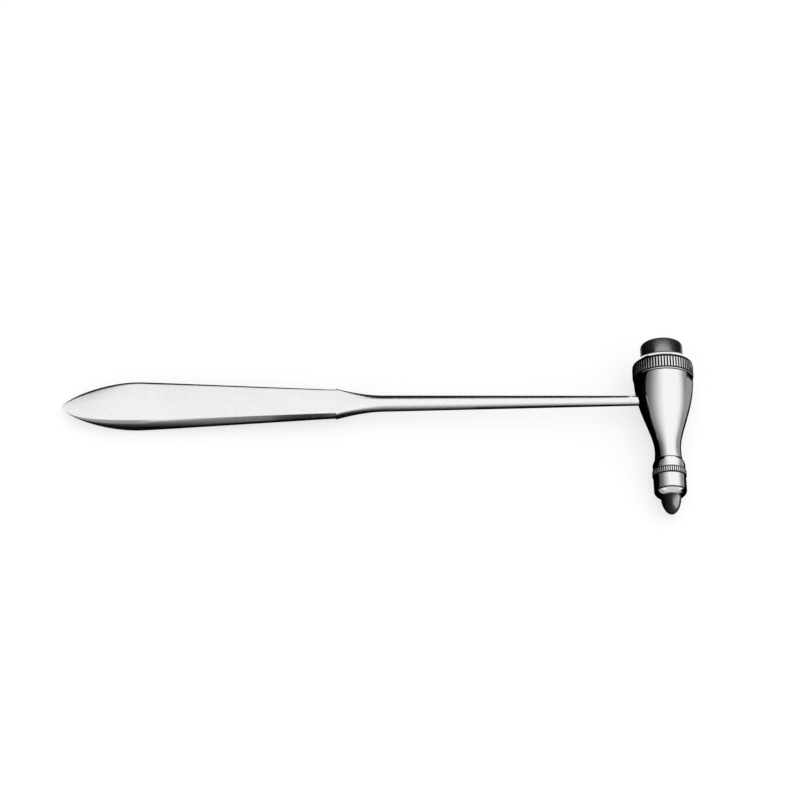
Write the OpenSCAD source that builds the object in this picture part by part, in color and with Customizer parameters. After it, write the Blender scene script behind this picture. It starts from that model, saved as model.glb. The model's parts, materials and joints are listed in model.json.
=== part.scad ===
// Reflex hammer: a forged leaf-shaped grip whose round shaft screws into a turned, bell-shaped head.
// A large rubber buffer is held on top of the head by a knurled ring, and a small rubber tip
// below it by a knurled nut. Both screw off, so that worn rubbers can be changed.
// The hammer is drawn with its shaft along X and its head along Y, about the point where the two
// axes cross, and is then laid on the ground as it comes to rest. Sizes are in millimetres.

/* [Grip] */
// Length of the nose, from the point to the grip's widest place
nose_len = 30; // [20:0.5:42]
// Length of the flat blade, from the widest place to where its bevels end
blade_len = 75.8; // [50:0.2:100]
// Length of the neck, where the flat blade turns into the round shaft
neck_len = 19.6; // [12:0.2:30]
// Half of the grip's width at its widest place
grip_half_w = 9.2; // [8:0.05:12]
// Half of the grip's thickness at its widest place
grip_half_t = 4.5; // [3:0.1:5]
// Half of the grip's width where the bevels end
blade_end_half_w = 5.75; // [4.6:0.05:7]
// Half of the grip's thickness where the bevels end
blade_end_half_t = 2.75; // [2.2:0.05:3.6]
// Width of the soft bevel at the widest place
bevel_w = 1.75; // [1:0.05:4]
// Width of the crisp bevel where it ends
bevel_end_w = 0.9; // [0.5:0.1:2]
// Half of the height of the upright edge between the two bevels
edge_half_h = 1.0; // [0.4:0.1:1.6]
// Half of the width of the blunted point
point_half_w = 1.6; // [0.8:0.1:3]
// Half of the thickness that the point gains in its first third, before it swells
point_half_t = 0.75; // [0.4:0.05:1.2]
// Width of the nose's bevel near the point, as a share of the half-width there
nose_bevel_share = 0.27; // [0.15:0.01:0.4]

/* [Shaft] */
// Length of the shaft, from the neck to its seat in the head
shaft_len = 98.3; // [60:0.1:130]
// Radius of the shaft at the neck
shaft_r = 3.15; // [2.6:0.05:4]
// Radius of the shaft at the head
shaft_end_r = 1.93; // [1.8:0.01:2.5]
// Radius of the threaded stud at the shaft's end
stud_r = 1.5; // [1:0.05:1.7]
// Length of the threaded stud
stud_len = 10; // [4:0.5:14]
// Depth of the shaft's seat under the bell's surface
seat_depth = 0.5; // [0.3:0.05:1]

/* [Head body] */
// Radius of the bell under the ring
bell_r = 11.45; // [11:0.05:12]
// Height of the bell's shoulder above the shaft's axis
bell_rise = 8.4; // [6:0.1:12]
// Depth of the waist below the shaft's axis
waist_drop = 21.2; // [18:0.1:26]
// Radius of the waist
waist_r = 5.05; // [4.4:0.05:5.3]
// Length of the flare below the waist
flare_len = 4.4; // [2:0.1:8]
// How far the flare opens out past the waist
flare_out = 0.35; // [0.2:0.05:0.8]
// Length of the sloping shoulder below the flare
shoulder_len = 1.9; // [1:0.1:4]
// Length of the plain land between the shoulder and the nut
land_len = 2.35; // [1:0.05:4]
// How far the shoulder stands out past the flare, to the radius of the land and of the nut
shoulder_out = 0.85; // [0.5:0.05:1.5]

/* [Buffer ring] */
// How far the ring's ribs stand out past the bell
ring_over = 0.35; // [0.25:0.05:1]
// Depth of the grooves between the ring's ribs
ring_groove = 0.42; // [0.2:0.02:0.6]
// Height of the plain land below the ribs
ring_land_h = 0.65; // [0.4:0.05:1]
// Height of the bevel above the ribs
ring_bevel_h = 2.4; // [2:0.1:3.2]
// Height of the turned relief between the ring's ribs and its bevel
ring_relief_h = 0.6; // [0.3:0.05:0.9]
// Thickness of the lip over the buffer's flange
ring_lip_t = 2.1; // [1.6:0.1:3]
// How far the lip's upper edge lies in from the ring's outside
ring_lip_in = 2.15; // [1.2:0.05:2.4]
// Number of ribs round the ring
ring_ribs = 64; // [48:4:80]
// Width of the step at the bell's top, from its outside to the thread for the ring
ring_step = 1.05; // [0.8:0.05:1.6]
// Length of the thread between ring and body
ring_thread_len = 4.4; // [3:0.1:6]

/* [Large rubber buffer] */
// How far the buffer stands out of the ring
buffer_out = 6.9; // [3:0.1:10]
// How far the buffer's hidden flange stands out past its side
flange_w = 2; // [1.6:0.1:3]
// Radius of the buffer's rounded rim
buffer_round = 1.2; // [0.4:0.1:2.5]
// Thickness of the buffer's hidden flange
flange_h = 1.7; // [1:0.1:3]

/* [Tip nut] */
// Height of the nut's ribbed band
nut_band_h = 2.4; // [1.5:0.1:4]
// How far the ribs stand out of the nut
nut_rib_out = 0.28; // [0.2:0.02:0.6]
// Depth of the grooves between the nut's ribs
nut_groove = 0.24; // [0.1:0.02:0.5]
// Number of ribs round the nut
nut_ribs = 48; // [32:4:60]
// Height of the nut's rounded lip
nut_lip_h = 2.1; // [1.5:0.1:4]
// How far the lip bulges out of a straight cone
nut_lip_bulge = 0.35; // [0.1:0.05:0.5]
// Width of the step from the land's outside to the thread for the nut
nut_step = 1.25; // [1:0.05:1.6]
// Length of the thread between nut and body
nut_thread_len = 5.6; // [4:0.1:8]

/* [Small rubber tip] */
// How far the tip stands out of the nut
tip_out = 7; // [4:0.1:10]
// How far the tip's hidden base stands out past its side
tip_base_w = 0.9; // [0.6:0.05:1.5]
// Thickness of the tip's hidden base
tip_base_h = 2.8; // [1:0.1:5]

/* [Fits] */
// Gap round the shaft and its stud in the head
stud_gap = 0.05; // [0.02:0.01:0.1]
// Gap round the threads
thread_gap = 0.05; // [0.02:0.01:0.1]
// Gap between faces that are screwed together
seat_gap = 0.05; // [0.02:0.01:0.1]
// Gap between each rubber and the hole that it stands in
rubber_gap = 0.1; // [0.05:0.01:0.2]
// Gap round the hidden flange of each rubber
flange_gap = 0.25; // [0.1:0.05:0.5]
// Chamfer at the start of each thread
thread_chamfer = 0.5; // [0.2:0.1:0.8]

/* [Hidden] */

steel = "silver";
bright = "lightgray";
rubber = [0.06, 0.06, 0.07];

// The reliefs turned beside the ribs, and the chamfer that leads into them
relief_w = 0.15;
relief_extra = 0.05;
rib_chamfer = 0.2;

// Small shapes of the turned parts
bell_inset = 0.18;
shoulder_bulge = 0.12;
ring_edge = 0.15;
stud_end_gap = 0.5;

// How finely the curves are cut
nose_steps = 14;
blade_steps = 14;
neck_steps = 12;
bevel_steps = 5;
bell_steps = 26;
arc_steps = 8;
tip_steps = 12;
turned_fn = 120;

// Point at share t of the cubic curve with the four control points p
function cubic(p, t) = pow(1 - t, 3) * p[0] + 3 * pow(1 - t, 2) * t * p[1]
    + 3 * (1 - t) * t * t * p[2] + pow(t, 3) * p[3];

// Value between a and b at share t
function between(a, b, t) = a + (b - a) * t;

// Share t eased at both ends
function eased(t) = t * t * (3 - 2 * t);

// Points from a to b on an arc that bulges by a distance to the right of the way there
function bulge(a, b, out) = let (
    way = b - a,
    side = [way[1], -way[0]] / norm(way)
) [for (i = [0 : arc_steps]) let (t = i / arc_steps) a + way * t + side * out * 4 * t * (1 - t)];

// Places along the head, measured from the shaft's axis towards the buffer
flare_y = -waist_drop - flare_len;
land_y = flare_y - shoulder_len;
joint_y = land_y - land_len;
thread_top_y = bell_rise + ring_thread_len;
flange_y = thread_top_y + seat_gap;
flange_top_y = flange_y + flange_h;
ring_y = bell_rise + seat_gap;
band_y = ring_y + ring_land_h;
ring_top_y = flange_top_y + seat_gap + ring_lip_t;
bevel_y = ring_top_y - ring_bevel_h;
rib_top_y = bevel_y - ring_relief_h;
buffer_top_y = ring_top_y + buffer_out;
thread_end_y = joint_y - nut_thread_len;
base_y = thread_end_y - seat_gap;
base_end_y = base_y - tip_base_h;
nut_y = joint_y - seat_gap;
nut_band_y = nut_y - nut_band_h;
nut_edge_y = base_end_y - seat_gap;
nut_end_y = nut_edge_y - nut_lip_h;
tip_end_y = nut_end_y - tip_out;

// Radii that follow from the pieces they fit
ring_r = bell_r + ring_over;
ring_top_r = ring_r - ring_lip_in;
ring_thread_r = bell_r - ring_step;
ring_bore_r = ring_thread_r + thread_gap;
flange_r = ring_bore_r - flange_gap;
buffer_r = flange_r - flange_w;
ring_mouth_r = buffer_r + rubber_gap;
flare_r = waist_r + flare_out;
collar_r = flare_r + shoulder_out;
nut_thread_r = collar_r - nut_step;
nut_bore_r = nut_thread_r + thread_gap;
tip_base_r = nut_bore_r - flange_gap;
tip_r = tip_base_r - tip_base_w;
nut_mouth_r = tip_r + rubber_gap;

// Outline of the bell from its shoulder down to the waist
bell_curve = [
    [bell_r, bell_rise],
    [bell_r - bell_inset, between(bell_rise, -waist_drop, 0.43)],
    [waist_r, between(-waist_drop, bell_rise, 0.26)],
    [waist_r, -waist_drop]];
bell_outline = [for (i = [0 : bell_steps]) cubic(bell_curve, i / bell_steps)];

// Places along the shaft, measured from the head's axis, with the grip on the negative side.
// The seat is cut deep enough into the round bell for the shaft's whole end to meet it.
bell_at_seat = lookup(-shaft_end_r, [for (p = bell_outline) [p[1], p[0]]]);
seat_x = seat_depth - sqrt(pow(bell_at_seat, 2) - pow(shaft_end_r, 2));
neck_x = seat_x - shaft_len;
blade_x = neck_x - neck_len;
wide_x = blade_x - blade_len;
point_x = wide_x - nose_len;

// Outline of the blunt point and nose, and of the blade behind it: [distance on, half-width]
nose_curve = [[0, 0], [0, point_half_w], [0.3 * nose_len, grip_half_w], [nose_len, grip_half_w]];
blade_curve = [
    [0, grip_half_w],
    [0.25 * blade_len, grip_half_w],
    [0.65 * blade_len, between(blade_end_half_w, grip_half_w, 0.4)],
    [blade_len, blade_end_half_w]];

// Half-thickness along the nose, which leaves the point as a wedge and meets the blade's slow taper
blade_thinning = (grip_half_t - blade_end_half_t) / blade_len;
nose_swell = [0, point_half_t, grip_half_t + blade_thinning * nose_len / 3, grip_half_t];

// The neck ends a hair inside the round shaft, and each bevel runs out over a short way.
// Neck, shaft and stud run into each other, so that they are one solid.
neck_inset = 0.03;
overlap = 1;
neck_r = shaft_r - neck_inset;
bevel_runout = 0.3;

// Stations along the grip: [x, half-width, half-thickness, half-edge, bevel, roundness of bevel, of section]
nose_stations = [for (i = [1 : nose_steps]) let (
        c = cubic(nose_curve, i / nose_steps),
        t = c[0] / nose_len,
        half_t = cubic(nose_swell, t)
    ) [point_x + c[0], c[1], half_t, edge_half_h * half_t / grip_half_t,
        c[1] * between(nose_bevel_share, bevel_w / grip_half_w, eased(t)), 1, 0]];
blade_stations = [for (i = [1 : blade_steps]) let (
        c = cubic(blade_curve, i / blade_steps),
        t = c[0] / blade_len
    ) [wide_x + c[0], c[1], between(grip_half_t, blade_end_half_t, t), edge_half_h,
        between(bevel_w, bevel_end_w, t * t), pow(1 - t, 3), 0]];
neck_stations = [for (i = [0 : neck_steps]) let (
        t = i / neck_steps,
        half_w = between(neck_r, blade_end_half_w, pow(1 - t, 2))
    ) [blade_x + bevel_runout + (neck_len - bevel_runout) * t, half_w,
        between(blade_end_half_t, neck_r, t), edge_half_h, bevel_end_w, 1, eased(t)]];
shaft_station = [neck_x + overlap, neck_r, neck_r, edge_half_h, bevel_end_w, 1, 1];
stations = concat(nose_stations, blade_stations, neck_stations, [shaft_station]);

// One quarter of a flat section: its edge, its bevel and its face
function quarter(s) = let (
    face = s[1] - s[4],
    rise = s[2] - s[3]
) concat(
    [[s[1], 0], [s[1], s[3]]],
    [for (j = [1 : bevel_steps - 1]) let (
            t = j / bevel_steps,
            flat = [s[1] - s[4] * t, s[3] + rise * t],
            full = [face + s[4] * cos(90 * t), s[3] + rise * sin(90 * t)]
        ) between(flat, full, s[5])],
    [for (j = [3 : -1 : 0]) [face * j / 3, s[2]]]);

// Whole section: the quarter mirrored three times, and turned to an ellipse by its last value
function section(s) = let (
    q = quarter(s),
    n = len(q) - 1,
    flat = concat(
        [for (j = [0 : n - 1]) [q[j][0], q[j][1]]],
        [for (j = [n : -1 : 1]) [-q[j][0], q[j][1]]],
        [for (j = [0 : n - 1]) [-q[j][0], -q[j][1]]],
        [for (j = [n : -1 : 1]) [q[j][0], -q[j][1]]])
) [for (j = [0 : 4 * n - 1]) let (
        a = 90 * j / n,
        p = between(flat[j], [s[1] * cos(a), s[2] * sin(a)], s[6])
    ) [s[0], p[0], p[1]]];

grip_rings = [for (s = stations) section(s)];
ring_size = len(grip_rings[0]);
grip_points = concat([[point_x, 0, 0]], [for (ring = grip_rings) each ring]);

// How the hammer lies: on one rib of the ring, the nut's lower edge and the flat of the grip.
// The head leans until the ring and the nut both touch, and then the grip drops onto the ground.
rest_rib_y = band_y + relief_w + rib_chamfer;
lean = atan((ring_r - collar_r) / (rest_rib_y - nut_edge_y));
axis_height = ring_r - rest_rib_y * tan(lean);
drop = min([for (p = grip_points) if (p[2] < 0 && p[0] < blade_x)
    asin((axis_height + p[1] * tan(lean)) / norm([p[0], p[2]])) - atan(p[2] / p[0])]);
rest_height = axis_height * cos(lean);
rest_x = (point_x * cos(drop) + ring_r) / 2;
rest_y = (buffer_top_y + tip_end_y) / 2 * cos(lean);

module lying() {
    translate([-rest_x, -rest_y, rest_height]) rotate([lean, 0, 0]) rotate([0, -drop, 0]) children();
}

// A profile of [radius, height] points turned about the head's axis
module turned(profile) {
    rotate([-90, 0, 0]) rotate_extrude($fn = turned_fn) polygon(profile);
}

// Grooves that leave straight ribs round a band from low to high
module rib_grooves(crest_r, groove, count, low, high) {
    crest_half = 0.26;
    floor_half = 0.13;
    spare = 1;
    outline = [for (i = [0 : count - 1]) each [
        for (c = [[-crest_half, 0], [crest_half, 0], [0.5 - floor_half, groove], [0.5 + floor_half, groove]])
            let (a = (i + c[0]) * 360 / count) (crest_r - c[1]) * [cos(a), sin(a)]]];
    translate([0, low, 0]) rotate([-90, 0, 0]) difference() {
        cylinder(r = crest_r + spare, h = high - low, $fn = turned_fn);
        translate([0, 0, -spare]) linear_extrude(high - low + 2 * spare) polygon(outline);
    }
}

module grip() {
    last = 1 + (len(grip_rings) - 1) * ring_size;
    polyhedron(
        points = grip_points,
        faces = concat(
            [for (j = [0 : ring_size - 1]) [0, 1 + j, 1 + (j + 1) % ring_size]],
            [for (i = [0 : len(grip_rings) - 2], j = [0 : ring_size - 1]) let (
                    a = 1 + i * ring_size + j,
                    b = 1 + i * ring_size + (j + 1) % ring_size
                ) each [[a, a + ring_size, b + ring_size], [a, b + ring_size, b]]],
            [[for (j = [ring_size - 1 : -1 : 0]) last + j]]));
}

module along_shaft(x) {
    translate([x, 0, 0]) rotate([0, 90, 0]) children();
}

module handle() {
    color(steel) lying() {
        grip();
        along_shaft(neck_x) cylinder(r1 = shaft_r, r2 = shaft_end_r, h = shaft_len, $fn = turned_fn);
        along_shaft(seat_x - overlap) cylinder(r = stud_r, h = stud_len + overlap, $fn = turned_fn);
    }
}

module head_body() {
    profile = concat(
        [[0, thread_end_y], [nut_thread_r - thread_chamfer, thread_end_y],
            [nut_thread_r, thread_end_y + thread_chamfer], [nut_thread_r, joint_y],
            [collar_r, joint_y]],
        bulge([collar_r, land_y], [flare_r, flare_y], shoulder_bulge),
        [for (i = [arc_steps - 1 : -1 : 1]) let (t = i / arc_steps)
            [waist_r + (flare_r - waist_r) * t * t, -waist_drop - flare_len * t]],
        [for (i = [bell_steps : -1 : 0]) bell_outline[i]],
        [[ring_thread_r, bell_rise], [ring_thread_r, thread_top_y - thread_chamfer],
            [ring_thread_r - thread_chamfer, thread_top_y], [0, thread_top_y]]);
    shaft_at_bell = between(shaft_end_r, shaft_r, (seat_x + bell_r) / shaft_len);
    color(bright) lying() difference() {
        turned(profile);
        along_shaft(seat_x) cylinder(r = stud_r + stud_gap, h = stud_len + stud_end_gap, $fn = turned_fn);
        along_shaft(-bell_r) cylinder(r = shaft_at_bell + stud_gap, h = bell_r + seat_x, $fn = turned_fn);
    }
}

module buffer_ring() {
    relief_r = ring_r - ring_groove - relief_extra;
    profile = [
        [ring_bore_r, ring_y],
        [ring_r - 2 * ring_edge, ring_y],
        [ring_r - ring_edge, band_y - relief_w],
        [relief_r, band_y],
        [relief_r, band_y + relief_w],
        [ring_r, rest_rib_y],
        [ring_r, rib_top_y - rib_chamfer],
        [relief_r, rib_top_y],
        [relief_r, bevel_y],
        [ring_r - ring_edge, bevel_y + relief_w],
        [ring_top_r, ring_top_y],
        [ring_mouth_r, ring_top_y],
        [ring_mouth_r, flange_top_y + seat_gap],
        [ring_bore_r, flange_top_y + seat_gap]];
    color(bright) lying() difference() {
        turned(profile);
        rib_grooves(ring_r, ring_groove, ring_ribs, band_y, rib_top_y);
    }
}

module striking_buffer() {
    rim = [for (i = [0 : arc_steps]) let (a = 90 * i / arc_steps)
        [buffer_r - buffer_round + buffer_round * cos(a), buffer_top_y - buffer_round + buffer_round * sin(a)]];
    profile = concat(
        [[0, flange_y], [flange_r, flange_y], [flange_r, flange_top_y], [buffer_r, flange_top_y]],
        rim,
        [[0, buffer_top_y]]);
    color(rubber) lying() turned(profile);
}

module tip_nut() {
    crest_r = collar_r + nut_rib_out;
    profile = concat(
        [[nut_bore_r, nut_y], [nut_bore_r, nut_edge_y], [nut_mouth_r, nut_edge_y]],
        bulge([nut_mouth_r, nut_end_y], [collar_r, nut_edge_y], nut_lip_bulge),
        [[collar_r, nut_band_y], [crest_r, nut_band_y + rib_chamfer], [crest_r, nut_y - rib_chamfer],
            [collar_r, nut_y]]);
    color(bright) lying() difference() {
        turned(profile);
        rib_grooves(crest_r, nut_groove, nut_ribs, nut_band_y, nut_y);
    }
}

module tip_rubber() {
    // A rounded cone, a little more pointed than half an ellipse
    power = 1.9;
    nose = [for (i = [0 : tip_steps - 1]) let (t = sin(90 * i / tip_steps))
        [tip_r * pow(1 - pow(t, power), 1 / power), nut_end_y - tip_out * t]];
    profile = concat(
        [[0, tip_end_y]],
        [for (i = [tip_steps - 1 : -1 : 0]) nose[i]],
        [[tip_r, base_end_y], [tip_base_r, base_end_y], [tip_base_r, base_y], [0, base_y]]);
    color(rubber) lying() turned(profile);
}

handle();
head_body();
buffer_ring();
striking_buffer();
tip_nut();
tip_rubber();
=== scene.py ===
"""A reflex hammer lying on white paper, lit softly from above and seen from over its small end."""
import json
import math

import bpy
import numpy as np
from mathutils import Matrix, Vector


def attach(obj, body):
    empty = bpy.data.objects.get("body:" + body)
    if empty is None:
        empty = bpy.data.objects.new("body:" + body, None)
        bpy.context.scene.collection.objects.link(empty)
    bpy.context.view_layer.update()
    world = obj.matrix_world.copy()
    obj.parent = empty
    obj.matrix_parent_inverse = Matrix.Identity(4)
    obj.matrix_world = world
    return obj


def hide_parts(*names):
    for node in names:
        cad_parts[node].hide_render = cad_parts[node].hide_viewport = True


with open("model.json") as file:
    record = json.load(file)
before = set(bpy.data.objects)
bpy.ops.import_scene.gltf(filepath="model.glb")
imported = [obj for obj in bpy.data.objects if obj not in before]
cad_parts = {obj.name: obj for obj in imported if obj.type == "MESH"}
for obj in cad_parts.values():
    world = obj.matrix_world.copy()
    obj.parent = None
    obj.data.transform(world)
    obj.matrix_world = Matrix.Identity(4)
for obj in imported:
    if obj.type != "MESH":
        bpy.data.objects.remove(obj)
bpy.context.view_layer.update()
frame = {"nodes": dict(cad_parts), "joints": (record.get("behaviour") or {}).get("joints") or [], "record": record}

# How the hammer lies
# Everything on it is measured in millimetres from the point where the shaft's axis crosses the
# head's: along the shaft, along the head, and square to the grip's flat face.
joints = {joint["name"]: joint for joint in frame["joints"]}
mounts = {mount["name"]: mount for mount in frame["record"]["mounts"]}
MM = 0.001
STRIKING_FACE_Y = 23.6

along_head = Vector(joints["ring_turn"]["axis"]).normalized()
crossing = Vector(mounts["striking_face"]["pos_m"]) - along_head * STRIKING_FACE_Y * MM
handle_mesh = frame["nodes"]["handle"].data
handle_points = np.empty(3 * len(handle_mesh.vertices))
handle_mesh.vertices.foreach_get("co", handle_points)
handle_points = handle_points.reshape(-1, 3)
grip_point = Vector(handle_points[handle_points[:, 0].argmin()])
along_shaft = (crossing - grip_point).normalized()
across_grip = along_shaft.cross(along_head)
hammer_axes = np.array([along_shaft, along_head, across_grip])


def on_hammer(points):
    """Row-frame metres of hammer millimetres: the crossing plus each measure along its axis."""
    return np.array(crossing) + MM * np.asarray(points, dtype=float) @ hammer_axes


# The handle
# One steel forging: a leaf-shaped grip with a blunt point, ground flat with bevelled edges, which
# runs through a neck into a round tapered shaft. A stud at its end screws tight into the head.
NOSE_LEN = 30.0
BLADE_LEN = 75.8
NECK_LEN = 19.6
SHAFT_LEN = 98.3
SHAFT_SEAT_X = -9.353
GRIP_HALF_W, GRIP_HALF_T = 9.2, 4.5
BLADE_END_HALF_W, BLADE_END_HALF_T = 5.75, 2.75
POINT_HALF_W, POINT_HALF_T = 1.6, 0.75
BEVEL_W, BEVEL_END_W, NOSE_BEVEL_SHARE = 1.75, 0.9, 0.27
EDGE_HALF_H = 1.0
BEVEL_RUNOUT = 0.3
CORNER_R = 0.3
NOSE_START, NOSE_PULL = 0.04, 0.3
BLADE_PULLS, BLADE_BELLY = (0.25, 0.65), 0.4
NOSE_ROWS, BLADE_ROWS, NECK_ROWS, SHAFT_ROWS = 60, 70, 41, 31
EDGE_CORNER_SHARE, CORNER_SHARE = 0.4, 0.3
EDGE_TURN, BEVEL_TURN = math.radians(10), math.radians(60)
SEAT_STEP = 0.01
SHAFT_R, SHAFT_END_R = 3.15, 1.93
STUD_R, STUD_LEN, STUD_CHAMFER = 1.5, 10.0, 0.4
CRISP = math.radians(30)
STEEL_DULL, STEEL_BRIGHT = (0.85, 0.85, 0.855, 1), (0.94, 0.94, 0.945, 1)


def between(a, b, t):
    """Value at share t of the way from a to b."""
    return a + (b - a) * t


def eased(t):
    """Share t slowed down at both ends: three times its square less twice its cube."""
    return t * t * (3 - 2 * t)


def cubic(points, t):
    """Points at shares t of the cubic curve with four control points."""
    t = np.asarray(t, dtype=float)[:, None]
    p = np.asarray(points, dtype=float).reshape(4, -1)
    return (1 - t) ** 3 * p[0] + 3 * (1 - t) ** 2 * t * p[1] + 3 * (1 - t) * t ** 2 * p[2] + t ** 3 * p[3]


def grip_stations():
    """Rows of [x, half-width, half-thickness, half-edge, bevel, its roundness, share of ellipse].

    The nose and the blade follow two cubic curves in plan. The nose swells from a wedge, the
    blade thins evenly, and its bevel goes from round to flat as the cube of the way left. The
    neck narrows with the square of the way left, while its section eases into an ellipse."""
    blade_x = SHAFT_SEAT_X - SHAFT_LEN - NECK_LEN
    wide_x = blade_x - BLADE_LEN
    thinning = (GRIP_HALF_T - BLADE_END_HALF_T) / BLADE_LEN

    plan = cubic([[0, 0], [0, POINT_HALF_W], [NOSE_PULL * NOSE_LEN, GRIP_HALF_W], [NOSE_LEN, GRIP_HALF_W]],
                 np.linspace(NOSE_START, 1, NOSE_ROWS))
    x, half_w = plan.T
    t = x / NOSE_LEN
    half_t = cubic([0, POINT_HALF_T, GRIP_HALF_T + thinning * NOSE_LEN / 3, GRIP_HALF_T], t)[:, 0]
    bevel = half_w * between(NOSE_BEVEL_SHARE, BEVEL_W / GRIP_HALF_W, eased(t))
    nose = np.column_stack((wide_x - NOSE_LEN + x, half_w, half_t, EDGE_HALF_H * half_t / GRIP_HALF_T,
                            bevel, np.ones_like(x), np.zeros_like(x)))

    middle_w = between(BLADE_END_HALF_W, GRIP_HALF_W, BLADE_BELLY)
    plan = cubic([[0, GRIP_HALF_W], [BLADE_PULLS[0] * BLADE_LEN, GRIP_HALF_W],
                  [BLADE_PULLS[1] * BLADE_LEN, middle_w], [BLADE_LEN, BLADE_END_HALF_W]],
                 np.linspace(0, 1, BLADE_ROWS + 1)[1:])
    x, half_w = plan.T
    t = x / BLADE_LEN
    blade = np.column_stack((wide_x + x, half_w, between(GRIP_HALF_T, BLADE_END_HALF_T, t),
                             np.full_like(x, EDGE_HALF_H), between(BEVEL_W, BEVEL_END_W, t ** 2),
                             (1 - t) ** 3, np.zeros_like(x)))

    t = np.linspace(0, 1, NECK_ROWS)
    x = between(BEVEL_RUNOUT, NECK_LEN, t)
    neck = np.column_stack((blade_x + x, between(SHAFT_R, BLADE_END_HALF_W, (1 - t) ** 2),
                            between(BLADE_END_HALF_T, SHAFT_R, t), np.full_like(x, EDGE_HALF_H),
                            np.full_like(x, BEVEL_END_W), np.ones_like(x), eased(t)))
    return np.vstack((nose, blade, neck))


def corner(before, at, after, t):
    """Soft corner: the quadratic curve from before to after that is drawn towards at."""
    return (1 - t) ** 2 * before + 2 * t * (1 - t) * at + t ** 2 * after


def grip_sections(stations):
    """Rings of [half-width way, half-thickness way] points, and the angle of each ring point.

    A quarter runs up the upright edge, over the bevel and along the face to its middle, with
    soft corners, and is mirrored into the other three. The bevel lies between a straight line
    and a quarter ellipse. The whole is then moved by its share towards an ellipse."""
    w, t, e, b, roundness, ellipse = (column[:, None, None] for column in stations.T[1:])
    face, rise = w - b, t - e
    way = np.array([[[1.0, 0.0]]]), np.array([[[0.0, 1.0]]])
    point = lambda y, z: y * way[0] + z * way[1]
    share = lambda s: np.asarray(s)[None, :, None]
    soft = np.minimum(CORNER_R, EDGE_CORNER_SHARE * e) / np.maximum(np.hypot(b, rise), 1e-6)
    soft = np.minimum(soft, CORNER_SHARE)
    length = soft * np.hypot(b, rise)
    face_cut = np.minimum(length, CORNER_SHARE * face)

    def bevel(s):
        quarter_turn = s * math.pi / 2
        return between(point(w - b * s, e + rise * s),
                       point(face + b * np.cos(quarter_turn), e + rise * np.sin(quarter_turn)), roundness)

    s_edge = share([0, 0.5])
    s_corner = share([0, 0.25, 0.5, 0.75])
    s_bevel = share(np.linspace(0, 1, 10)[:-1])
    s_face = share(np.linspace(0, 1, 9)[:-1])
    quarter = np.concatenate((
        point(w + 0 * s_edge, (e - length) * s_edge),
        corner(point(w, e - length), point(w, e), bevel(soft), s_corner),
        bevel(between(soft, 1 - soft, s_bevel)),
        corner(bevel(1 - soft), point(face, t), point(face - face_cut, t), s_corner),
        point((face - face_cut) * (1 - s_face), t + 0 * s_face)), axis=1)
    middle = point(0 * w, t)
    angle = np.concatenate((np.linspace(0, EDGE_TURN, 6), np.linspace(EDGE_TURN, BEVEL_TURN, 14)[1:-1],
                            np.linspace(BEVEL_TURN, math.pi / 2, 10)[:-1]))
    flip = lambda y, z: np.array([y, z])
    whole = np.concatenate((
        quarter, middle, quarter[:, :0:-1] * flip(-1, 1),
        quarter * flip(-1, -1), middle * flip(1, -1), quarter[:, :0:-1] * flip(1, -1)), axis=1)
    turn = np.concatenate((angle, [math.pi / 2], math.pi - angle[:0:-1],
                           math.pi + angle, [1.5 * math.pi], 2 * math.pi - angle[:0:-1]))
    oval = point(w * np.cos(turn)[None, :, None], t * np.sin(turn)[None, :, None])
    return between(whole, oval, ellipse), turn


def skin(rings, loop=False):
    """Mesh of rings of points, each joined to the next. A loop joins the last ring to the first;
    otherwise either end is closed to a point in its ring's middle."""
    rows, columns = rings.shape[:2]
    number = np.arange(rows * columns).reshape(rows, columns)
    first = number if loop else number[:-1]
    second = np.roll(number, -1, axis=0) if loop else number[1:]
    quads = np.stack((first, second, np.roll(second, -1, axis=1), np.roll(first, -1, axis=1)), axis=-1)
    faces = quads.reshape(-1, 4).tolist()
    points = on_hammer(rings.reshape(-1, 3))
    if not loop:
        points = np.vstack((points, points[:columns].mean(axis=0), points[-columns:].mean(axis=0)))
        start, end = rows * columns, rows * columns + 1
        ring = np.stack((number[0], np.roll(number[0], -1), np.full(columns, start)), axis=-1)
        faces += ring.tolist()
        ring = np.stack((np.roll(number[-1], -1), number[-1], np.full(columns, end)), axis=-1)
        faces += ring.tolist()
    made = bpy.data.meshes.new("skin")
    made.from_pydata(points, [], faces)
    return made


def piece(node, mesh, body, material, crisp=CRISP):
    """Shows a mesh in place of a CAD node, smooth but for edges sharper than the crisp angle."""
    mesh.name = node
    mesh.polygons.foreach_set("use_smooth", np.ones(len(mesh.polygons), dtype=bool))
    mesh.set_sharp_from_angle(angle=crisp)
    mesh.materials.append(material)
    made = bpy.data.objects.new(node + "_skin", mesh)
    bpy.context.collection.objects.link(made)
    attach(made, body)
    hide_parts(node)
    return made


def add(tree, kind, inputs=None, **settings):
    """Node of a kind with its settings. Each of its inputs takes a value or another node's output."""
    made = tree.nodes.new("ShaderNode" + kind)
    for name, value in settings.items():
        setattr(made, name, value)
    for socket, value in (inputs or {}).items():
        if isinstance(value, bpy.types.NodeSocket):
            tree.links.new(value, made.inputs[socket])
        else:
            made.inputs[socket].default_value = value
    return made


def worked_out(tree, operation, *values):
    """Result of an arithmetic operation on one to three values."""
    return add(tree, "Math", dict(enumerate(values)), operation=operation).outputs["Value"]


def mixed(tree, share, first, second, **settings):
    """Colour from the first to the second, as the share goes from nought to one."""
    return add(tree, "MixRGB", {"Fac": share, "Color1": first, "Color2": second}, **settings).outputs["Color"]


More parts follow.
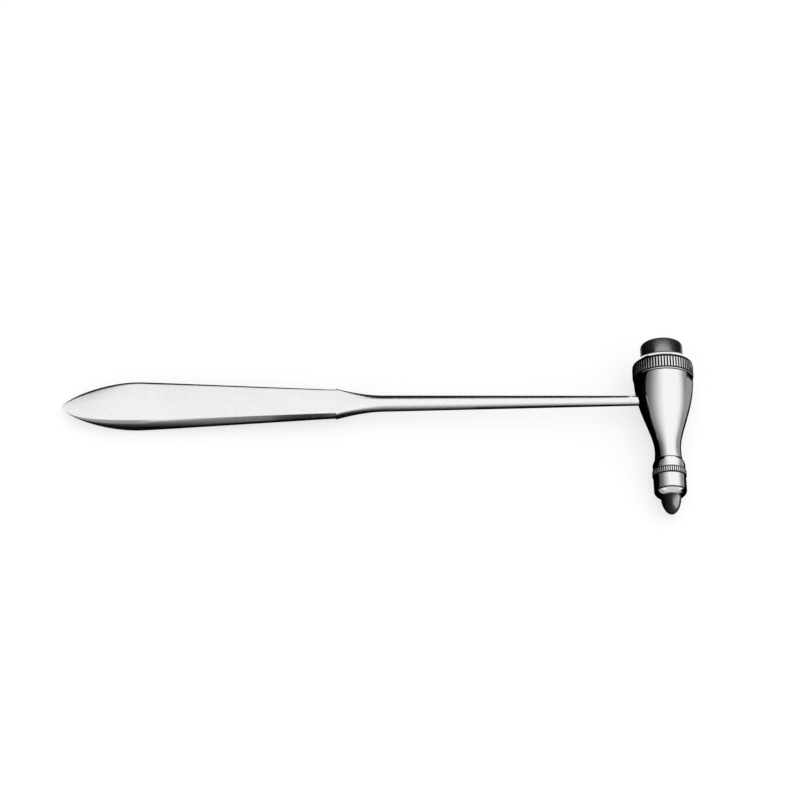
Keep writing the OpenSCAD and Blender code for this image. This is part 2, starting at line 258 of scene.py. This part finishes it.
def finish_of(name, **values):
    """Material with the given constants on its shader, its tree, and the place on the hammer in millimetres.

    The row frame's metres are turned onto the hammer's axes and counted from the crossing."""
    material = bpy.data.materials.new(name)
    material.use_nodes = True
    tree = material.node_tree
    shader = tree.nodes["Principled BSDF"]
    for socket, value in values.items():
        shader.inputs[socket.replace("_", " ")].default_value = value
    turn = Matrix(hammer_axes)
    object_place = add(tree, "TexCoord").outputs["Object"]
    place = add(tree, "Mapping", {"Vector": object_place, "Rotation": turn.to_euler(),
                                  "Scale": (1 / MM,) * 3, "Location": turn @ crossing / -MM})
    return material, tree, shader, place.outputs["Vector"]


def grain(tree, place, size, detail=3.0, roughness=0.5):
    """Noise whose grains have the given lengths in millimetres along the hammer's three axes."""
    spaced = add(tree, "Mapping", {"Vector": place, "Scale": [1 / length for length in size]})
    noise = add(tree, "TexNoise", {"Vector": spaced.outputs["Vector"], "Scale": 1.0, "Detail": detail,
                                   "Roughness": roughness})
    return noise.outputs["Fac"]


def ranged(tree, value, low, high, start=0.3, end=0.7):
    """Value from start to end carried over to low to high, and held there beyond them."""
    made = add(tree, "MapRange", {"Value": value, "From Min": start, "From Max": end,
                                  "To Min": low, "To Max": high})
    return made.outputs["Result"]


def dented(tree, shader, height, depth):
    """Joins a height in millimetres to the shader as bump."""
    bump = add(tree, "Bump", {"Height": height, "Distance": depth * MM, "Strength": 1.0})
    tree.links.new(bump.outputs["Normal"], shader.inputs["Normal"])


def satin_steel():
    """Ground steel, brushed along the grip, with the fine matt grain of a blasted forging."""
    material, tree, shader, place = finish_of("satin_steel", Metallic=1.0)
    brushed = grain(tree, place, (14.0, 0.22, 0.22), 4.0, 0.6)
    blasted = grain(tree, place, (0.55, 0.55, 0.55), 2.0)
    handled = grain(tree, place, (26.0, 9.0, 9.0), 3.0)
    dented(tree, shader, worked_out(tree, "ADD", brushed, blasted), 0.004)
    colour = mixed(tree, ranged(tree, blasted, 0.0, 1.0), STEEL_DULL, STEEL_BRIGHT)
    tree.links.new(colour, shader.inputs["Base Color"])
    tree.links.new(ranged(tree, handled, 0.22, 0.30), shader.inputs["Roughness"])
    return material


sections, ring_angle = grip_sections(grip_stations())
grip_x = grip_stations()[:, 0]
shaft_x = np.linspace(SHAFT_SEAT_X - SHAFT_LEN, SHAFT_SEAT_X, SHAFT_ROWS)[1:]
shaft_radius = np.linspace(SHAFT_R, SHAFT_END_R, SHAFT_ROWS)[1:]
stud_x = SHAFT_SEAT_X + np.array([0.0, 0.0, STUD_LEN - STUD_CHAMFER, STUD_LEN])
stud_radius = np.array([SHAFT_END_R - SEAT_STEP, STUD_R, STUD_R, STUD_R - STUD_CHAMFER])
round_x = np.concatenate((shaft_x, stud_x))
round_radius = np.concatenate((shaft_radius, stud_radius))[:, None, None]
circle = np.stack((np.cos(ring_angle), np.sin(ring_angle)), axis=-1)
outline = np.concatenate((sections, circle * round_radius))
stations_x = np.concatenate((grip_x, round_x))[:, None, None] + 0 * outline[:, :, :1]
from_stud_to_point = np.concatenate((stations_x, outline), axis=2)[::-1]
handle_skin = piece("handle", skin(from_stud_to_point), "hammer", satin_steel())
# The picture's head mirrors no shaft, so mirrored light passes the handle by.
handle_skin.visible_glossy = False

# The head body
# One turned and chrome-plated steel piece: a bell that narrows to a waist, flares to a sharp edge
# and steps out over a rounded shoulder. Threaded spigots at its ends take the ring and the nut.
BELL_R, BELL_INSET, BELL_RISE, WAIST_DROP, WAIST_R = 11.45, 0.18, 8.4, 21.2, 5.05
FLARE_LEN, FLARE_R, SHOULDER_LEN, SHOULDER_BULGE = 4.4, 5.4, 1.9, 0.12
LAND_LEN, COLLAR_R = 2.35, 6.25
RING_THREAD_R, RING_THREAD_LEN, NUT_THREAD_R, NUT_THREAD_LEN = 10.4, 4.4, 5.0, 5.6
THREAD_CHAMFER, THREAD_PITCH, THREAD_DEPTH = 0.5, 1.0, 0.45
THREAD_ROWS, THREAD_STEEPNESS = 14, 0.85
BELL_PULL, WAIST_PULL, BELL_ROWS = 0.43, 0.26, 81
ROUND_SIDES = 240
LINE_CUT = 0.14
SEAM_REACH, NUT_SEAM_REACH = 0.3, 0.45
SEAM_CORE = 0.3
GROOVE_DEEP, GROOVE_SHALLOW, BAND_MARGIN = 0.055, 0.018, 0.05
EDGE_SOFT = 0.1
CHROME_DULL, CHROME_BRIGHT = (0.87, 0.87, 0.875, 1), (0.94, 0.94, 0.945, 1)
# Near-black colour of the painted shade in the chrome's seams and between the ribs.
SEAM_SHADE = (0.015, 0.015, 0.015, 1)
JOINT_Y = -WAIST_DROP - FLARE_LEN - SHOULDER_LEN - LAND_LEN


def softened(corners, cut, steps=5):
    """Outline whose inner corners are quadratic curves that start and end a cut away from them."""
    c = np.asarray(corners, dtype=float)
    way = np.diff(c, axis=0)
    length = np.linalg.norm(way, axis=1, keepdims=True)
    part = np.minimum(cut, 0.45 * length) * way / length
    t = np.linspace(0, 1, steps)[None, :, None]
    inner = c[1:-1, None]
    curves = corner(inner - part[:-1, None], inner, inner + part[1:, None], t)
    return np.vstack((c[:1], curves.reshape(-1, 2), c[-1:]))


def bulge(a, b, out, steps=14):
    """Points from a to b on a parabola that stands out to the right of the way by a distance."""
    a, b = np.asarray(a, dtype=float), np.asarray(b, dtype=float)
    t = np.linspace(0, 1, steps)[:, None]
    way = b - a
    side = np.array([way[1], -way[0]]) / np.linalg.norm(way)
    return a + way * t + side * out * 4 * t * (1 - t)


def turned(profile, angles, shape=None):
    """Rings of a profile of [radius, height] round the head's axis, from the face's side to the right.

    A shape, where given, works out the radius from the profile's radius, the height and the angle."""
    radius, height = profile[:, 0, None], profile[:, 1, None]
    angle = angles[None, :]
    radius = (radius if shape is None else shape(radius, height, angle)) + 0 * angle
    return np.stack((radius * np.sin(angle), height + 0 * angle, radius * np.cos(angle)), axis=-1)


def screw(height, angle, low, high):
    """Depth of a right-hand thread between two heights, in shares of its full depth.

    A wave with flattened crests and roots climbs one pitch in each turn. It fades out over
    half a pitch at both ends."""
    wave = np.clip(0.5 - THREAD_STEEPNESS * np.cos(2 * math.pi * height / THREAD_PITCH - angle), 0, 1)
    fade = THREAD_PITCH / 2
    inside = np.clip((height - low) / fade, 0, 1) * np.clip((high - height) / fade, 0, 1)
    return wave * inside


def run_of(a, b):
    """Points from a to b along a thread, close enough together to draw its turns."""
    steps = int(THREAD_ROWS * math.dist(a, b) / THREAD_PITCH)
    return np.linspace(a, b, steps)


def near_heights(tree, height, heights, reach):
    """One at any of the heights along the head, falling evenly to nought within a reach of it."""
    nearest = None
    for line in heights:
        away = worked_out(tree, "ABSOLUTE", worked_out(tree, "SUBTRACT", height, line))
        nearest = away if nearest is None else worked_out(tree, "MINIMUM", away, nearest)
    return ranged(tree, nearest, 1.0, 0.0, SEAM_CORE * reach, reach)


def polished_chrome(name, seams, reach, band=None):
    """Bright plating over fine turning marks, with faint wiping marks, and near-black painted shade in the seams.

    A band of low end, high end and crest radius gets the same painted shade below its crests, in the grooves
    between the ribs."""
    material, tree, shader, place = finish_of(name, Metallic=1.0)
    turning = grain(tree, place, (60.0, 0.12, 60.0), 3.0, 0.6)
    wiped = grain(tree, place, (5.0, 3.0, 5.0), 4.0, 0.6)
    specks = grain(tree, place, (0.4, 0.4, 0.4), 2.0)
    dented(tree, shader, turning, 0.0012)
    bright = mixed(tree, ranged(tree, specks, 0.0, 1.0), CHROME_DULL, CHROME_BRIGHT)
    height = add(tree, "SeparateXYZ", {"Vector": place}).outputs["Y"]
    # Painted shade: near-black about the seams' heights, and below the crests of a band of ribs.
    painted_shade = near_heights(tree, height, seams, reach)
    if band:
        low, high, crest = band
        flat = add(tree, "VectorMath", {0: place, 1: (1, 0, 1)}, operation="MULTIPLY").outputs["Vector"]
        radius = add(tree, "VectorMath", {0: flat}, operation="LENGTH").outputs["Value"]
        groove = ranged(tree, radius, 1.0, 0.0, crest - GROOVE_DEEP, crest - GROOVE_SHALLOW)
        inside = near_heights(tree, height, [(low + high) / 2], (high - low) / 2 + BAND_MARGIN)
        inside = worked_out(tree, "GREATER_THAN", inside, 0.01)
        painted_shade = worked_out(tree, "MAXIMUM", worked_out(tree, "MULTIPLY", groove, inside), painted_shade)
    tree.links.new(mixed(tree, painted_shade, bright, SEAM_SHADE), shader.inputs["Base Color"])
    tree.links.new(ranged(tree, wiped, 0.08, 0.14), shader.inputs["Roughness"])
    return material


top_y = BELL_RISE + RING_THREAD_LEN
bottom_y = JOINT_Y - NUT_THREAD_LEN
bell = cubic([[BELL_R, BELL_RISE], [BELL_R - BELL_INSET, between(BELL_RISE, -WAIST_DROP, BELL_PULL)],
              [WAIST_R, between(-WAIST_DROP, BELL_RISE, WAIST_PULL)], [WAIST_R, -WAIST_DROP]],
             np.linspace(0, 1, BELL_ROWS))
flare_share = np.linspace(0, 1, 15)[1:-1]
flare = np.column_stack((between(WAIST_R, FLARE_R, flare_share ** 2), -WAIST_DROP - FLARE_LEN * flare_share))
flare_y = -WAIST_DROP - FLARE_LEN
shoulder = bulge([COLLAR_R, flare_y - SHOULDER_LEN], [FLARE_R, flare_y], SHOULDER_BULGE)[::-1]
head_profile = np.vstack((
    [[RING_THREAD_R - THREAD_CHAMFER, top_y]],
    run_of([RING_THREAD_R, top_y - THREAD_CHAMFER], [RING_THREAD_R, BELL_RISE + EDGE_SOFT]),
    softened([[RING_THREAD_R, BELL_RISE], [BELL_R, BELL_RISE], bell[2]], EDGE_SOFT),
    bell[3:],
    flare,
    softened([flare[-1], [FLARE_R, flare_y + LINE_CUT], [FLARE_R - LINE_CUT, flare_y], shoulder[1]],
             EDGE_SOFT / 2)[1:-1],
    shoulder[1:-1],
    softened([shoulder[-2], [COLLAR_R, JOINT_Y], [NUT_THREAD_R, JOINT_Y]], EDGE_SOFT)[1:],
    run_of([NUT_THREAD_R, JOINT_Y - EDGE_SOFT], [NUT_THREAD_R, bottom_y + THREAD_CHAMFER]),
    [[NUT_THREAD_R - THREAD_CHAMFER, bottom_y]]))


def head_threads(radius, height, angle):
    """The profile's radius less the thread's depth on either spigot."""
    upper = screw(height, angle, BELL_RISE, top_y + THREAD_PITCH)
    lower = screw(height, angle, bottom_y - THREAD_PITCH, JOINT_Y)
    return radius - THREAD_DEPTH * (upper * (height > BELL_RISE) + lower * (height < JOINT_Y))


round_angles = np.linspace(0, 2 * math.pi, ROUND_SIDES + 1)[:-1]
head_chrome = polished_chrome("head_chrome", [BELL_RISE, flare_y, JOINT_Y], SEAM_REACH)
head_rings = turned(head_profile, round_angles, head_threads)
piece("head_body", skin(head_rings), "hammer", head_chrome)

# The buffer ring
# A turned and chrome-plated ring with straight knurling between two turned reliefs, and a wide
# bevel above. It screws onto the head body and holds the large buffer down by its flange.
RING_R, RING_BORE_R, RING_MOUTH_R, RING_TOP_R = 11.8, 10.45, 8.3, 9.65
RING_Y, BAND_Y, RIB_TOP_Y, BEVEL_Y, RING_TOP_Y = 8.45, 9.1, 13.7, 14.3, 16.7
FLANGE_SEAT_Y, THREAD_TOP_Y = 14.6, 12.85
RING_EDGE, RELIEF_W, RELIEF_R, RIB_CHAMFER = 0.15, 0.15, 11.33, 0.2
RING_GROOVE, RING_RIBS = 0.42, 64
RIB_CRISP = math.radians(40)
ON_BORE = 0.01
RIB_CUTS = np.array([[0.0, 0.0], [0.14, 0.0], [0.23, 0.03], [0.275, 0.14], [0.36, 0.9], [0.41, 1.0],
                     [0.59, 1.0], [0.64, 0.9], [0.725, 0.14], [0.77, 0.03], [0.86, 0.0]])


def rib_angles(count):
    """Angles round a band of ribs, a few to each pitch, close together at the ribs' edges."""
    pitches = np.arange(count)[:, None] + RIB_CUTS[None, :, 0]
    return pitches.ravel() * 2 * math.pi / count


def grooved(radius, crest, depth, count):
    """The smaller of the turned radius and the radius that the grooves between the ribs leave."""
    return np.minimum(radius, crest - depth * np.tile(RIB_CUTS[:, 1], count)[None, :])


bore_end = [RING_BORE_R, RING_Y + EDGE_SOFT]
ring_profile = np.vstack((
    run_of(bore_end, [RING_BORE_R, THREAD_TOP_Y]),
    softened([[RING_BORE_R, THREAD_TOP_Y], [RING_BORE_R, FLANGE_SEAT_Y], [RING_MOUTH_R, FLANGE_SEAT_Y],
              [RING_MOUTH_R, RING_TOP_Y], [RING_TOP_R, RING_TOP_Y], [RING_R - RING_EDGE, BEVEL_Y + RELIEF_W],
              [RELIEF_R, BEVEL_Y], [RELIEF_R, RIB_TOP_Y],
              [RING_R, RIB_TOP_Y - RIB_CHAMFER], [RING_R, BAND_Y + RELIEF_W + RIB_CHAMFER],
              [RELIEF_R, BAND_Y + RELIEF_W], [RELIEF_R, BAND_Y], [RING_R - RING_EDGE, BAND_Y - RELIEF_W],
              [RING_R - 2 * RING_EDGE, RING_Y], [RING_BORE_R, RING_Y], bore_end], EDGE_SOFT, 4)[1:-1]))


def ring_cuts(radius, height, angle):
    """The profile's radius with the ribs' grooves cut outside and the thread cut in the bore."""
    banded = (radius > RING_R - 1) & (height > BAND_Y) & (height < RIB_TOP_Y)
    thread = THREAD_DEPTH * screw(height, angle + math.pi, RING_Y - THREAD_PITCH, THREAD_TOP_Y)
    bored = radius + thread * ((radius < RING_BORE_R + ON_BORE) & (height < THREAD_TOP_Y))
    return np.where(banded, grooved(radius, RING_R, RING_GROOVE, RING_RIBS), bored)


ring_rings = turned(ring_profile, rib_angles(RING_RIBS), ring_cuts)
ring_chrome = polished_chrome("ring_chrome", [RING_Y, BAND_Y, BEVEL_Y], SEAM_REACH, (BAND_Y, BEVEL_Y, RING_R))
piece("buffer_ring", skin(ring_rings, loop=True), "ring", ring_chrome, RIB_CRISP)

# The large buffer
# One moulded black rubber piece: a short cylinder with a rounded rim, and a flange that lies on the
# head body's upper end under the ring's lip.
BUFFER_R, BUFFER_ROUND, FLANGE_R = 8.2, 1.2, 10.2
FLANGE_Y, FLANGE_TOP_Y = 12.85, 14.55
CORE_R, RUBBER_SOFT = 0.5, 0.25
RUBBER_DARK, RUBBER_BLOOM = (0.0012, 0.0012, 0.0013, 1), (0.0035, 0.0035, 0.0036, 1)
MATT_FROM_Y, MATT_FULL_Y, MATT = STRIKING_FACE_Y - 0.7 * BUFFER_ROUND, STRIKING_FACE_Y - 0.1, 0.42


def black_rubber():
    """Moulded black rubber with a fine grain and a slight bloom. The striking face is matt from use."""
    material, tree, shader, place = finish_of("black_rubber", Specular_IOR_Level=0.14)
    moulded = grain(tree, place, (0.35, 0.35, 0.35), 3.0)
    bloom = grain(tree, place, (4.0, 4.0, 4.0), 5.0, 0.6)
    dented(tree, shader, moulded, 0.008)
    colour = mixed(tree, ranged(tree, bloom, 0.0, 1.0), RUBBER_DARK, RUBBER_BLOOM)
    tree.links.new(colour, shader.inputs["Base Color"])
    height = add(tree, "SeparateXYZ", {"Vector": place}).outputs["Y"]
    struck = ranged(tree, height, 0.0, MATT, MATT_FROM_Y, MATT_FULL_Y)
    matt = worked_out(tree, "ADD", ranged(tree, bloom, 0.27, 0.34), struck)
    tree.links.new(matt, shader.inputs["Roughness"])
    return material


rubber = black_rubber()
rim_angle = np.linspace(0, math.pi / 2, 13)
rim = np.column_stack((BUFFER_R - BUFFER_ROUND * (1 - np.sin(rim_angle)),
                       STRIKING_FACE_Y - BUFFER_ROUND * (1 - np.cos(rim_angle))))
face = np.column_stack((np.linspace(CORE_R, rim[0, 0], 9)[:-1], np.full(8, STRIKING_FACE_Y)))
buffer_profile = np.vstack((
    face, rim, softened([rim[-1], [BUFFER_R, FLANGE_TOP_Y], [FLANGE_R, FLANGE_TOP_Y], [FLANGE_R, FLANGE_Y],
                         [CORE_R, FLANGE_Y]], RUBBER_SOFT)[1:]))
piece("striking_buffer", skin(turned(buffer_profile, round_angles)), "buffer", rubber)

# The tip nut
# A turned and chrome-plated nut with a narrow knurled band and a rounded lip. It screws onto the
# head body's lower end and holds the small tip by its base.
NUT_BORE_R, NUT_MOUTH_R, NUT_R, NUT_CREST_R = 5.05, 4.0, 6.25, 6.53
NUT_Y, NUT_BAND_Y, NUT_EDGE_Y, NUT_END_Y, NUT_THREAD_END_Y = -29.9, -32.3, -38.35, -40.45, -35.45
NUT_GROOVE, NUT_RIBS, LIP_BULGE = 0.24, 48, 0.35

nut_bore_end = [NUT_BORE_R, NUT_Y - EDGE_SOFT]
lip = bulge([NUT_MOUTH_R, NUT_END_Y], [NUT_R, NUT_EDGE_Y], LIP_BULGE)[::-1]
nut_profile = np.vstack((
    run_of([NUT_BORE_R, NUT_THREAD_END_Y], nut_bore_end),
    softened([nut_bore_end, [NUT_BORE_R, NUT_Y], [NUT_R, NUT_Y], [NUT_CREST_R, NUT_Y - RIB_CHAMFER],
              [NUT_CREST_R, NUT_BAND_Y + RIB_CHAMFER], [NUT_R, NUT_BAND_Y], [NUT_R, NUT_EDGE_Y + LINE_CUT],
              [NUT_R - LINE_CUT, NUT_EDGE_Y], lip[1]], EDGE_SOFT, 4)[1:-1],
    lip[1:-1],
    softened([lip[-2], lip[-1], [NUT_MOUTH_R, NUT_EDGE_Y], [NUT_BORE_R, NUT_EDGE_Y],
              [NUT_BORE_R, NUT_THREAD_END_Y]], EDGE_SOFT, 4)[1:-1]))


def nut_cuts(radius, height, angle):
    """The profile's radius with the ribs' grooves cut outside and the thread cut in the bore."""
    banded = (radius > NUT_R - 0.1) & (height > NUT_BAND_Y)
    thread = THREAD_DEPTH * screw(height, angle + math.pi, NUT_THREAD_END_Y, NUT_Y + THREAD_PITCH)
    bored = radius + thread * (radius < NUT_BORE_R + ON_BORE)
    return np.where(banded, grooved(radius, NUT_CREST_R, NUT_GROOVE, NUT_RIBS), bored)


nut_rings = turned(nut_profile, rib_angles(NUT_RIBS), nut_cuts)
nut_chrome = polished_chrome("nut_chrome", [NUT_Y, NUT_BAND_Y, NUT_EDGE_Y], NUT_SEAM_REACH,
                             (NUT_BAND_Y, NUT_Y, NUT_CREST_R))
piece("tip_nut", skin(nut_rings, loop=True), "nut", nut_chrome, RIB_CRISP)

# The small tip
# One moulded black rubber piece: a rounded cone, a little more pointed than half an ellipse, on a
# wider base that the nut's lip holds.
TIP_R, TIP_BASE_R, TIP_END_Y, TIP_POWER = 3.9, 4.8, -47.45, 1.9
TIP_BASE_Y, TIP_BASE_END_Y = -35.5, -38.3
TIP_ROWS, TIP_CLOSING = 40, math.radians(89)

t = np.sin(np.linspace(0, TIP_CLOSING, TIP_ROWS))
nose = np.column_stack((TIP_R * (1 - t ** TIP_POWER) ** (1 / TIP_POWER), between(NUT_END_Y, TIP_END_Y, t)))
tip_profile = np.vstack((
    softened([[CORE_R, TIP_BASE_Y], [TIP_BASE_R, TIP_BASE_Y], [TIP_BASE_R, TIP_BASE_END_Y],
              [TIP_R, TIP_BASE_END_Y], nose[0]], RUBBER_SOFT), nose[1:]))
piece("tip_rubber", skin(turned(tip_profile, round_angles)), "tip", rubber)

# The camera
# It looks down on the grip's flat face, tilted towards the small end, from a little under a metre,
# so that the head's far end comes out a little smaller.
VIEW_TILT = math.radians(25.0)
VIEW_ROLL = math.radians(0.65)
VIEW_DISTANCE = 865.0
AIM_ALONG_SHAFT = -102.3
AIM_UP = 1.35
PICTURE_SIDE = 800
FOCAL_PIXELS = 2237.0

to_camera = across_grip * math.cos(VIEW_TILT) - along_head * math.sin(VIEW_TILT)
picture_up = along_head * math.cos(VIEW_TILT) + across_grip * math.sin(VIEW_TILT)
right = along_shaft * math.cos(VIEW_ROLL) - picture_up * math.sin(VIEW_ROLL)
up = along_shaft * math.sin(VIEW_ROLL) + picture_up * math.cos(VIEW_ROLL)
camera = bpy.data.objects.new("camera", bpy.data.cameras.new("camera"))
camera.data.sensor_width = 36.0
camera.data.lens = FOCAL_PIXELS * camera.data.sensor_width / PICTURE_SIDE
camera.data.clip_start = 0.01
camera_place = Matrix((right, up, to_camera)).transposed().to_4x4()
aim = Vector(on_hammer([AIM_ALONG_SHAFT, 0, 0])) + up * AIM_UP * MM
camera_place.translation = aim + to_camera * VIEW_DISTANCE * MM
camera.matrix_world = camera_place
bpy.context.collection.objects.link(camera)
bpy.context.scene.camera = camera
bpy.context.scene.view_settings.view_transform = "Standard"

# The paper
# A plain white sheet that the hammer lies on. It shows white round a faint shadow, and the cards
# that follow hide it from mirrored light.
PAPER_SIDE = 3.0
PAPER_WHITE, PAPER_GLOW = 0.45, 0.66


def white_paper():
    """Matt white, with a glow for camera, mirrored and transmitted rays that lights nothing."""
    material = bpy.data.materials.new("white_paper")
    material.use_nodes = True
    tree = material.node_tree
    tree.nodes.clear()
    path = add(tree, "LightPath")
    matt = add(tree, "BsdfDiffuse", {"Color": (PAPER_WHITE,) * 3 + (1,)})
    seen = worked_out(tree, "ADD", path.outputs["Is Camera Ray"], path.outputs["Is Glossy Ray"])
    seen = worked_out(tree, "MAXIMUM", seen, path.outputs["Is Transmission Ray"])
    glow = add(tree, "Emission", {"Color": (1, 1, 1, 1),
                                  "Strength": worked_out(tree, "MULTIPLY", seen, PAPER_GLOW)})
    both = add(tree, "AddShader", {0: matt.outputs["BSDF"], 1: glow.outputs["Emission"]})
    add(tree, "OutputMaterial", {"Surface": both.outputs["Shader"]})
    return material


half = PAPER_SIDE / 2
paper_mesh = bpy.data.meshes.new("paper")
paper_corners = [(-half, -half, 0), (half, -half, 0), (half, half, 0), (-half, half, 0)]
paper_mesh.from_pydata(paper_corners, [], [(0, 1, 2, 3)])
paper_mesh.materials.append(white_paper())
paper = bpy.data.objects.new("paper", paper_mesh)
bpy.context.collection.objects.link(paper)

# The cards
# Sheets round the hammer that only mirrored light meets. A black one hides the paper from the metal
# and gives it dark edges; the others lie, stand or hang over that one. Sizes are millimetres along
# the shaft, along the head and above the paper.
CARD_REACH = 1600.0
ON_PAPER, ON_BLACK = 0.2, 0.4


def flat_card(left, near, right_end, far, height=ON_BLACK):
    """Corners of a level sheet."""
    return [(left, near, height), (right_end, near, height), (right_end, far, height), (left, far, height)]


def upright_card(left, right_end, far, top):
    """Corners of a sheet that stands on the black card."""
    return [(left, far, ON_BLACK), (right_end, far, ON_BLACK), (right_end, far, top), (left, far, top)]


CARDS = {
    "black_card": (0.0, [flat_card(-CARD_REACH, -CARD_REACH, CARD_REACH, CARD_REACH, ON_PAPER),
                         upright_card(-330.0, -222.0, 25.0, 48.0), upright_card(-222.0, -208.0, 25.0, 41.0),
                         upright_card(-208.0, -16.0, 25.0, 35.0), upright_card(-34.0, -12.5, 10.0, 19.0)]),
    "right_card": (0.32, [[(24.0, -19.0, ON_BLACK), (CARD_REACH, 60.0, ON_BLACK),
                           (CARD_REACH, 606.0, ON_BLACK), (24.0, 16.0, ON_BLACK)]]),
    "shaft_card": (0.40, [flat_card(-108.0, -CARD_REACH, 24.0, -52.0)]),
    "flank_card": (0.18, [flat_card(-235.0, -400.0, -150.0, -34.0), flat_card(-127.0, -60.0, -108.0, -30.0),
                          flat_card(-108.0, -52.0, -72.0, -30.0)]),
    "flank_mid_card": (0.10, [flat_card(-235.0, -34.0, -150.0, -20.0),
                              flat_card(-127.0, -30.0, -72.0, -18.0)]),
    "flank_dark_card": (0.04, [flat_card(-235.0, -20.0, -150.0, -13.0),
                               flat_card(-127.0, -18.0, -72.0, -11.0)]),
    "nose_card": (0.30, [upright_card(-330.0, -200.0, -25.0, 55.0)]),
    "lip_card": (0.64, [upright_card(-22.0, 48.0, -75.0, 60.0)]),
    "back_card": (0.95, [flat_card(-16.0, 27.0, 34.0, 60.0), upright_card(-16.0, 34.0, 60.0, 45.0)]),
    "point_card": (0.97, [[(-265.0, -8.0, 28.0), (-200.0, -8.0, 28.0),
                           (-200.0, 20.0, 28.0), (-265.0, 16.0, 28.0)]]),
}


def card_of(name, level, sheets):
    """Sheets of four corners that glow at a level, where 1 is white, and that only mirrored light reaches."""
    corners = np.array(sheets).reshape(-1, 3)
    places = on_hammer(corners)
    places[:, 2] = corners[:, 2] * MM
    mesh = bpy.data.meshes.new(name)
    mesh.from_pydata(places, [], np.arange(len(corners)).reshape(-1, 4).tolist())
    material = bpy.data.materials.new(name)
    material.use_nodes = True
    tree = material.node_tree
    tree.nodes.clear()
    glow = add(tree, "Emission", {"Color": (1, 1, 1, 1), "Strength": level})
    add(tree, "OutputMaterial", {"Surface": glow.outputs["Emission"]})
    mesh.materials.append(material)
    card = bpy.data.objects.new(name, mesh)
    bpy.context.collection.objects.link(card)
    card.visible_camera = card.visible_diffuse = card.visible_shadow = False


for name, (level, sheets) in CARDS.items():
    card_of(name, level, sheets)

# The studio light
# Soft white above, which falls off to grey beyond the head, to dark grey on the grip's side and low
# in front, and to black low at the back. Each rubber has a soft box that lights nothing else.
SKY_STOPS = [(-1.20, 0.05), (-1.08, 0.10), (-0.98, 0.16), (-0.90, 0.26), (-0.78, 0.42), (-0.61, 0.60),
             (-0.45, 0.76), (-0.26, 0.92), (-0.10, 1.0), (0.74, 1.0), (0.87, 0.93), (0.93, 0.80),
             (0.98, 0.62), (1.03, 0.30), (1.10, 0.12)]
SKY_END = 1.3
HEAD_SHARES, SHARE_REACH = (-0.5, 0.25), (-0.55, 0.3)
FAR_RISE, FAR_DARK = 8.0, (0.10, 0.30)
NEAR_RISE, NEAR_DARK, NEAR_LEVEL = 1.0, (0.0, 0.75), 0.15
SIDE_EDGE = 0.1


def studio_sky():
    """White for camera rays. For all others it follows stops along the shaft's way, shifted by a share
    of the head's way, times a horizon that darkens behind and in front, where little of the way is
    along the shaft."""
    world = bpy.data.worlds.new("studio")
    world.use_nodes = True
    tree = world.node_tree
    tree.nodes.clear()
    way = add(tree, "TexCoord").outputs["Generated"]
    dot = lambda axis: add(tree, "VectorMath", {0: way, 1: axis}, operation="DOT_PRODUCT").outputs["Value"]
    along, head, above = dot(along_shaft), dot(along_head), dot(across_grip)
    share = ranged(tree, along, *SHARE_REACH, *HEAD_SHARES)
    shifted = worked_out(tree, "MULTIPLY_ADD", head, share, along)
    position = ranged(tree, shifted, 0.0, 1.0, -SKY_END, SKY_END)
    ramp = add(tree, "ValToRGB", {"Fac": position})
    stops = ramp.color_ramp.elements
    while len(stops) < len(SKY_STOPS):
        stops.new(1.0)
    for stop, (place, level) in zip(stops, SKY_STOPS):
        stop.position = (place / SKY_END + 1) / 2
        stop.color = (level, level, level, 1)
    squared = worked_out(tree, "MULTIPLY", along, along)
    far_dark = ranged(tree, worked_out(tree, "MULTIPLY_ADD", squared, FAR_RISE, above), 0.0, 1.0, *FAR_DARK)
    near_height = worked_out(tree, "MULTIPLY_ADD", squared, NEAR_RISE, above)
    near_dark = ranged(tree, near_height, NEAR_LEVEL, 1.0, *NEAR_DARK)
    side = ranged(tree, head, 0.0, 1.0, -SIDE_EDGE, SIDE_EDGE)
    horizon = mixed(tree, side, near_dark, far_dark)
    sky = mixed(tree, 1.0, ramp.outputs["Color"], horizon, blend_type="MULTIPLY")
    seen = add(tree, "LightPath").outputs["Is Camera Ray"]
    colour = mixed(tree, seen, sky, (1, 1, 1, 1))
    light = add(tree, "Background", {"Color": colour, "Strength": 1.0})
    add(tree, "OutputWorld", {"Surface": light.outputs["Background"]})
    return world


def soft_box(name, node, middle, way, distance, width, height, watts):
    """Rectangular lamp that faces a middle on the hammer and lights one node's piece alone.

    Its width lies along the shaft. Sizes and distance are in millimetres."""
    lamp = bpy.data.lights.new(name, "AREA")
    lamp.shape = "RECTANGLE"
    lamp.size, lamp.size_y, lamp.energy = width * MM, height * MM, watts
    box = bpy.data.objects.new(name, lamp)
    box.visible_camera = False
    back = Vector(way @ hammer_axes).normalized()
    side = (along_shaft - back * along_shaft.dot(back)).normalized()
    place = Matrix((side, back.cross(side), back)).transposed().to_4x4()
    place.translation = Vector(on_hammer(middle)) + back * distance * MM
    box.matrix_world = place
    bpy.context.collection.objects.link(box)
    lit = bpy.data.collections.new(name)
    lit.objects.link(bpy.data.objects[node + "_skin"])
    box.light_linking.receiver_collection = lit


bpy.context.scene.world = studio_sky()
soft_box("buffer_box", "striking_buffer", middle=[1.5, 18.8, 8.0], way=np.array([0.0, 0.42, 0.90]),
         distance=11.0, width=26.0, height=5.0, watts=0.014)
soft_box("tip_box", "tip_rubber", middle=[0.0, -44.0, 0.0], way=np.array([0.80, -0.15, 0.45]),
         distance=60.0, width=110.0, height=60.0, watts=0.6)
